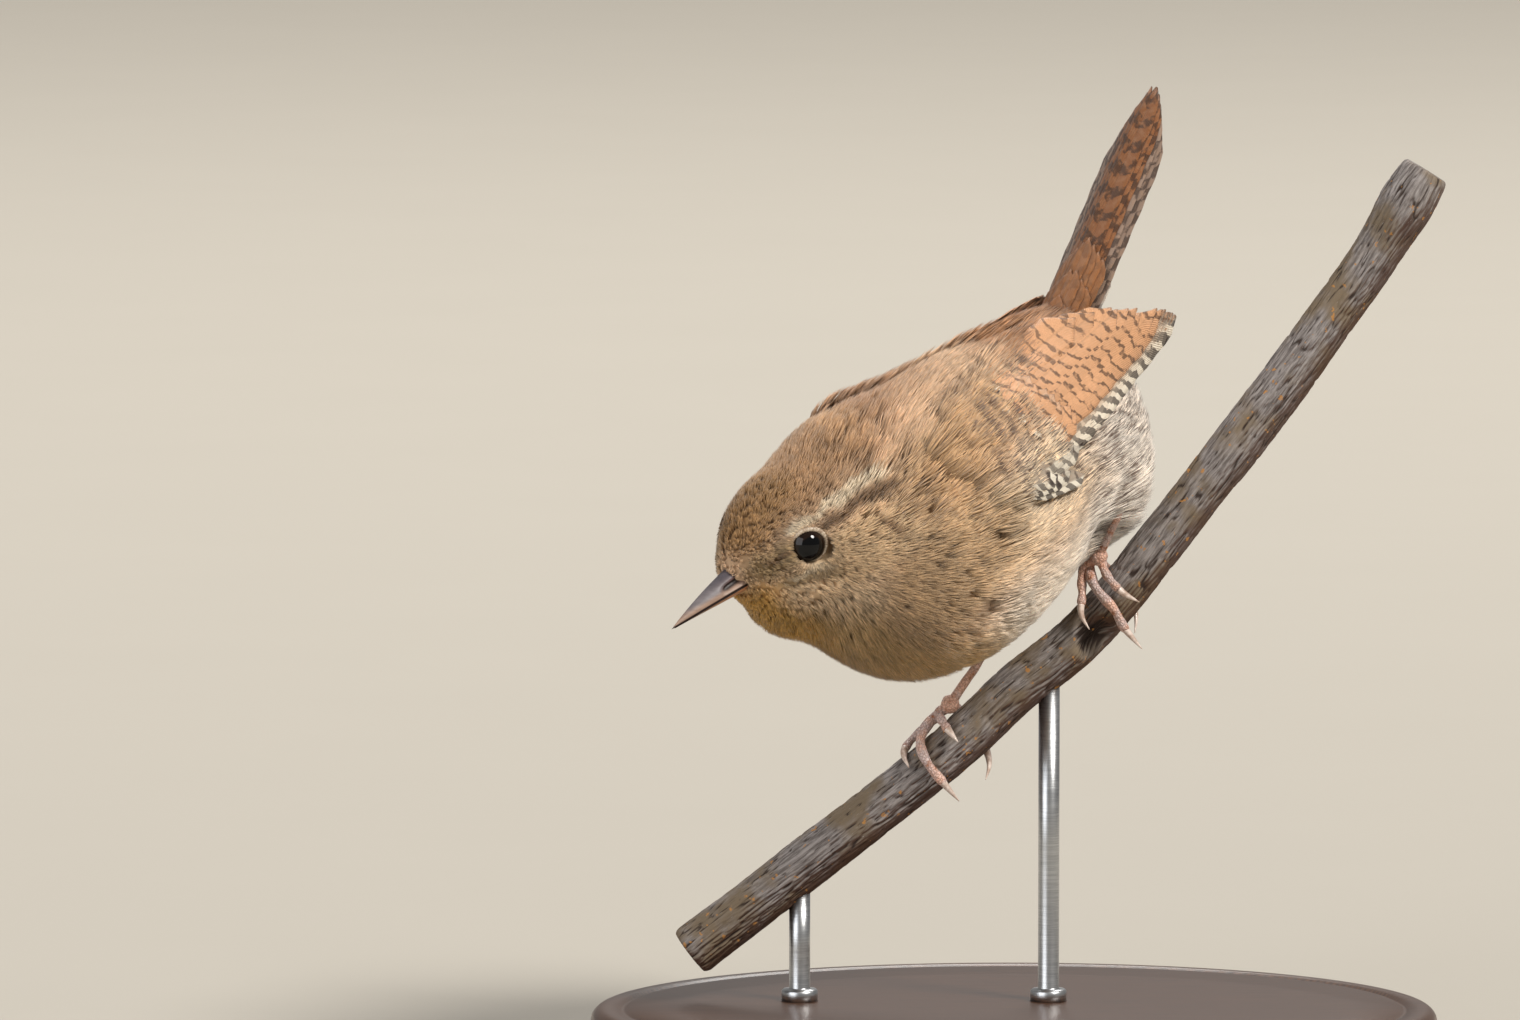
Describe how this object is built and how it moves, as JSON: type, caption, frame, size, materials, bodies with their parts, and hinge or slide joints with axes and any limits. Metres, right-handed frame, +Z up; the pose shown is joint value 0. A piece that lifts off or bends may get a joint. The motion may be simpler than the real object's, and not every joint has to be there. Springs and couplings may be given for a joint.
{
  "type": "wren figure",
  "caption": "Life-size Eurasian wren, head down with cocked tail, gripping a short cut twig on a plain display stand with an oval base.",
  "frame": {"origin": "centre of the oval base's flat underside", "axes": "+Z up; +X along the base's long side, towards the bird's tail; the bird turns its left side towards -Y"},
  "size_m": [0.1011, 0.076, 0.1148],
  "materials": {
    "crown_feathers": "fine soft feathers",
    "neck_feathers": "fine soft feathers",
    "body_feathers": "fine soft feathers, barred on the flanks",
    "wing_feathers": "barred flight feathers",
    "tail_feathers": "barred tail feathers",
    "upper_bill_horn": "satin horn",
    "lower_bill_horn": "satin horn",
    "eye_glass": "wet gloss",
    "leg_scutes": "satin scaled skin",
    "claw_horn": "satin horn",
    "twig_bark": "weathered fissured bark",
    "stand_wood": "satin dark wood",
    "stand_steel": "brushed"
  },
  "bodies": {
    "root": {"head": "crown_feathers", "neck": "neck_feathers", "torso": "body_feathers", "tail": "tail_feathers", "bill_upper": "upper_bill_horn", "bill_lower": "lower_bill_horn", "eye_left": "eye_glass", "wing_left": "wing_feathers", "leg_left": "leg_scutes", "foot_left": "leg_scutes", "claw_left_inner": "claw_horn", "claw_left_middle": "claw_horn", "claw_left_outer": "claw_horn", "claw_left_hind": "claw_horn", "eye_right": "eye_glass", "wing_right": "wing_feathers", "leg_right": "leg_scutes", "foot_right": "leg_scutes", "claw_right_inner": "claw_horn", "claw_right_middle": "claw_horn", "claw_right_outer": "claw_horn", "claw_right_hind": "claw_horn", "perch": "twig_bark", "stand_base": "stand_wood", "stand_rod_1": "stand_steel", "stand_rod_2": "stand_steel"}
  },
  "joints": []
}
